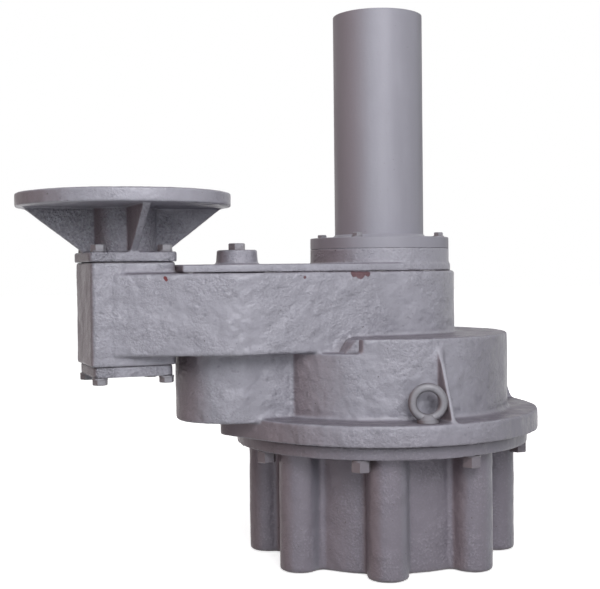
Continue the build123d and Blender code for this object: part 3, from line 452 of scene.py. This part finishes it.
materials = {
    "cast_paint": cast_paint("cast_paint", CAST_GREY, chips=CHIPS),
    "cast_coarse": cast_paint("cast_coarse", CAST_GREY, ripples=0.5, grit=3.4, lumps=0.4, painted_glint=0.62),
    "cast_fine": cast_paint("cast_fine", CAST_GREY, ripples=0.45, grit=1.1, lumps=0.55, painted_glint=0.20),
    "tube_paint": smooth_paint("tube_paint", PIPE_GREY),
    "eye_paint": cast_paint("eye_paint", EYE_GREY, 0.2, 0.6, 0.2, 0.15, (0.32, 0.44)),
    "bolt_paint": cast_paint("bolt_paint", BOLT_GREY, 0.2, 0.6, 0.15, 0.15, (0.34, 0.46)),
    "screw_steel": bare_metal("screw_steel", STEEL_GREY, (0.35, 0.5)),
    "seal_rubber": rubber("seal_rubber"),
    "machined_iron": bare_metal("machined_iron", IRON_GREY, (0.4, 0.55)),
    "bearing_steel": bare_metal("bearing_steel", BEARING_GREY, (0.15, 0.25)),
    "bush_bronze": bare_metal("bush_bronze", BRONZE, (0.25, 0.4)),
    "gear_steel": bare_metal("gear_steel", STEEL_GREY),
    "shaft_steel": bare_metal("shaft_steel", STEEL_GREY, (0.25, 0.35)),
}
repainted = {
    "filler_plug": "bolt_paint",
    "motor_adapter": "cast_coarse",
    "box_cover": "cast_coarse",
    "lower_casing": "cast_fine",
    "arm_cover": "cast_fine",
}
slots = {row["node"]: row["material_slot"] for row in frame["record"]["subparts"]}
for name, node in nodes.items():
    chosen = repainted.get(name, slots[name])
    node.data.materials.clear()
    node.data.materials.append(materials[chosen])
    for face in node.data.polygons:
        face.material_index = 0


def cloud_texture(name, size, depth):
    texture = bpy.data.textures.new(name, "CLOUDS")
    texture.noise_scale = size
    texture.noise_depth = depth
    return texture


swell_texture = cloud_texture("cast_swell", SWELL_SIZE, 2)
grain_texture = cloud_texture("cast_grain", GRAIN_SIZE, 3)


def cast_surface(node, voxel=CAST_VOXEL, swell=CAST_SWELL, grain=CAST_GRAIN, rounds=2, inward=INWARD):
    """Rounds the edges as a sand mould does and leaves the skin slightly uneven."""
    remesh = node.modifiers.new("cast_mesh", "REMESH")
    remesh.mode = "VOXEL"
    remesh.voxel_size = voxel
    remesh.use_smooth_shade = True
    soften = node.modifiers.new("cast_edges", "SMOOTH")
    soften.factor = 0.5
    soften.iterations = rounds
    for texture, height in ((swell_texture, swell), (grain_texture, grain)):
        uneven = node.modifiers.new(texture.name, "DISPLACE")
        uneven.texture = texture
        uneven.texture_coords = "LOCAL"
        uneven.strength = height
        uneven.mid_level = inward


def soft_edges(node, width, segments=2, angle=35.0):
    """Wears the sharp edges of a bolt head."""
    bevel = node.modifiers.new("edges", "BEVEL")
    bevel.width = width
    bevel.segments = segments
    bevel.limit_method = "ANGLE"
    bevel.angle_limit = math.radians(angle)
    bevel.harden_normals = False


cast_surface(nodes["gear_housing"], inward=HOUSING_INWARD)
cast_surface(nodes["lower_casing"], voxel=0.0026, inward=FEET_INWARD)
cast_surface(nodes["arm_cover"], voxel=0.0018, swell=0.0005, grain=0.0004, rounds=1, inward=COVER_INWARD)
cast_surface(nodes["motor_adapter"], voxel=0.0020, swell=0.0008)
cast_surface(nodes["box_cover"], voxel=0.0016, swell=0.0005, grain=0.0003, rounds=1, inward=0.5)
soft_edges(nodes["casing_bolts"], CASING_BOLT_EDGE, 3)
for name in ("standpipe_bolts", "adapter_bolts", "box_cover_bolts", "filler_plug"):
    soft_edges(nodes[name], BOLT_EDGE)

# The drum's step runs out in a rough slope of the casting, on both sides of the arm
STEP_RUN = (-0.1240, -0.0970)
STEP_RISE = (0.3125, 0.3342)
STEP_STEEPNESS = 1.35
STEP_FOOT = 0.3060
STEP_RADIUS = 0.1834
STEP_INSIDE = 0.1100
STEP_PARTS = 8
STEP_VOXEL = 0.0016


def step_section(side, share):
    """The four corners of the slope's cross-section, part of the way along its run."""
    x = STEP_RUN[0] + share * (STEP_RUN[1] - STEP_RUN[0])
    climb = min(1.0, share * STEP_STEEPNESS)
    slope = climb * climb * (3.0 - 2.0 * climb)
    crest = STEP_RISE[0] + slope * (STEP_RISE[1] - STEP_RISE[0])
    inner = side * STEP_INSIDE
    outer = side * math.sqrt(STEP_RADIUS ** 2 - x ** 2)
    corners = ((inner, STEP_FOOT), (outer, STEP_FOOT), (outer, crest), (inner, crest))
    return [(x, y, z) for y, z in corners]


step_mesh = bmesh.new()
for side in (-1.0, 1.0):
    rings = []
    for count in range(STEP_PARTS + 1):
        section = step_section(side, count / STEP_PARTS)
        rings.append([step_mesh.verts.new(corner) for corner in section])
    for near, far in zip(rings, rings[1:]):
        for corner in range(4):
            after = (corner + 1) % 4
            step_mesh.faces.new((near[corner], near[after], far[after], far[corner]))
    step_mesh.faces.new(rings[0])
    step_mesh.faces.new(rings[-1])
bmesh.ops.recalc_face_normals(step_mesh, faces=step_mesh.faces)
step_data = bpy.data.meshes.new("drum_step_blend")
step_mesh.to_mesh(step_data)
step_mesh.free()
step_data.materials.append(materials["cast_paint"])
step_blend = bpy.data.objects.new("drum_step_blend", step_data)
scene.collection.objects.link(step_blend)
cast_surface(step_blend, voxel=STEP_VOXEL, rounds=4, inward=HOUSING_INWARD)
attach(step_blend, "housing")

# Camera
camera_data = bpy.data.cameras.new("camera")
camera = bpy.data.objects.new("camera", camera_data)
scene.collection.objects.link(camera)
scene.camera = camera
camera_data.sensor_width = SENSOR_WIDTH
camera_data.lens = FOCAL_PIXELS / PICTURE_WIDTH * SENSOR_WIDTH
camera_data.clip_end = CAMERA_REACH
level = Vector((math.cos(CAMERA_HEADING), -math.sin(CAMERA_HEADING), 0.0))
ahead = Vector((math.sin(CAMERA_HEADING), math.cos(CAMERA_HEADING), 0.0))
forward = ahead * math.cos(CAMERA_PITCH) - Vector((0, 0, 1)) * math.sin(CAMERA_PITCH)
upright = level.cross(forward)
right = level * math.cos(CAMERA_ROLL) + upright * math.sin(CAMERA_ROLL)
up = upright * math.cos(CAMERA_ROLL) - level * math.sin(CAMERA_ROLL)
turn = Matrix((right, up, -forward)).transposed().to_4x4()
camera.matrix_world = Matrix.Translation(CAMERA_PLACE) @ turn


def add_math(tree, operation, first, second):
    """Joins two output sockets by a math operation."""
    node = tree.nodes.new("ShaderNodeMath")
    node.operation = operation
    tree.links.new(first, node.inputs[0])
    tree.links.new(second, node.inputs[1])
    return node.outputs[0]


def seen_directly(tree):
    """A value of one for rays from the camera, from a reflection and through glass."""
    paths = tree.nodes.new("ShaderNodeLightPath").outputs
    seen = add_math(tree, "MAXIMUM", paths["Is Camera Ray"], paths["Is Glossy Ray"])
    return add_math(tree, "MAXIMUM", seen, paths["Is Transmission Ray"])


# Floor: white where it is seen, greyer for its bounced light, and glowing white far away
floor_mesh = bpy.data.meshes.new("floor")
floor_mesh.from_pydata(
    [
        (-FLOOR_REACH, -FLOOR_REACH, 0.0),
        (FLOOR_REACH, -FLOOR_REACH, 0.0),
        (FLOOR_REACH, FLOOR_REACH, 0.0),
        (-FLOOR_REACH, FLOOR_REACH, 0.0),
    ],
    [],
    [(0, 1, 2, 3)],
)
floor = bpy.data.objects.new("floor", floor_mesh)
scene.collection.objects.link(floor)
floor.location.z = -FLOOR_DROP
ground = bpy.data.materials.new("floor")
ground.use_nodes = True
tree = ground.node_tree
tree.nodes.clear()
seen = seen_directly(tree)
shown = tree.nodes.new("ShaderNodeMix")
shown.data_type = "RGBA"
shown.inputs[6].default_value = (FLOOR_BOUNCE, FLOOR_BOUNCE, FLOOR_BOUNCE, 1.0)
shown.inputs[7].default_value = (FLOOR_WHITE, FLOOR_WHITE, FLOOR_WHITE, 1.0)
tree.links.new(seen, shown.inputs[0])
matt = tree.nodes.new("ShaderNodeBsdfDiffuse")
tree.links.new(shown.outputs[2], matt.inputs["Color"])
place = tree.nodes.new("ShaderNodeTexCoord")
away = tree.nodes.new("ShaderNodeVectorMath")
away.operation = "LENGTH"
tree.links.new(place.outputs["Object"], away.inputs[0])
fade = tree.nodes.new("ShaderNodeMapRange")
fade.interpolation_type = "SMOOTHSTEP"
fade.inputs["From Min"].default_value = FLOOR_FADE[0]
fade.inputs["From Max"].default_value = FLOOR_FADE[1]
fade.inputs["To Min"].default_value = FLOOR_GLOW
fade.inputs["To Max"].default_value = 1.0
tree.links.new(away.outputs["Value"], fade.inputs["Value"])
glow = tree.nodes.new("ShaderNodeEmission")
lift = add_math(tree, "MULTIPLY", seen, fade.outputs["Result"])
tree.links.new(lift, glow.inputs["Strength"])
both = tree.nodes.new("ShaderNodeAddShader")
tree.links.new(matt.outputs[0], both.inputs[0])
tree.links.new(glow.outputs[0], both.inputs[1])
end = tree.nodes.new("ShaderNodeOutputMaterial")
tree.links.new(both.outputs[0], end.inputs["Surface"])
floor_mesh.materials.append(ground)

# Room: white where it is seen, dim for its own light
world = bpy.data.worlds.new("studio")
scene.world = world
world.use_nodes = True
tree = world.node_tree
tree.nodes.clear()
ambient = tree.nodes.new("ShaderNodeBackground")
ambient.inputs["Color"].default_value = (*ROOM_COLOUR, 1.0)
ambient.inputs["Strength"].default_value = ROOM_STRENGTH
backdrop = tree.nodes.new("ShaderNodeBackground")
backdrop.inputs["Color"].default_value = (*WHITE, 1.0)
backdrop.inputs["Strength"].default_value = 1.0
choice = tree.nodes.new("ShaderNodeMixShader")
tree.links.new(seen_directly(tree), choice.inputs[0])
tree.links.new(ambient.outputs[0], choice.inputs[1])
tree.links.new(backdrop.outputs[0], choice.inputs[2])
end = tree.nodes.new("ShaderNodeOutputWorld")
tree.links.new(choice.outputs[0], end.inputs["Surface"])


def area_light(name, place, size, power, colour=WHITE, glossy=True):
    """A square lamp that points at the gearbox and isn't seen itself."""
    data = bpy.data.lights.new(name, "AREA")
    data.shape = "RECTANGLE"
    data.size = size
    data.size_y = size
    data.energy = power
    data.color = colour
    light = bpy.data.objects.new(name, data)
    scene.collection.objects.link(light)
    light.location = place
    aim = Vector(LIGHT_TARGET) - Vector(place)
    light.rotation_euler = aim.to_track_quat("-Z", "Y").to_euler()
    light.visible_camera = False
    light.visible_glossy = glossy


area_light("near_left", (-0.609, -1.216, 1.05), NEAR_SIZE, 5.6)
area_light("near_middle", (-0.20, -1.28, 1.15), NEAR_SIZE, 7.2, (1.0, 0.96, 0.97))
area_light("front_right", (-0.40, -2.45, 1.1), FAR_SIZE, 12.0, (0.92, 0.97, 1.0))
area_light("top", (-0.1, 0.3, 2.6), TOP_SIZE, 3.5, (1.0, 0.98, 0.98), glossy=False)
area_light("left_warm", (-2.395, 0.848, 0.8), FAR_SIZE, 1.6, (1.0, 0.50, 0.40), glossy=False)
area_light("back_right", (0.90, 2.10, 0.5), FAR_SIZE, 9.0, (1.0, 0.97, 0.96), glossy=False)
area_light("back_left", (-0.45, 2.40, 0.5), FAR_SIZE, 9.0, (1.0, 0.96, 0.94), glossy=False)

scene.view_settings.view_transform = "Standard"
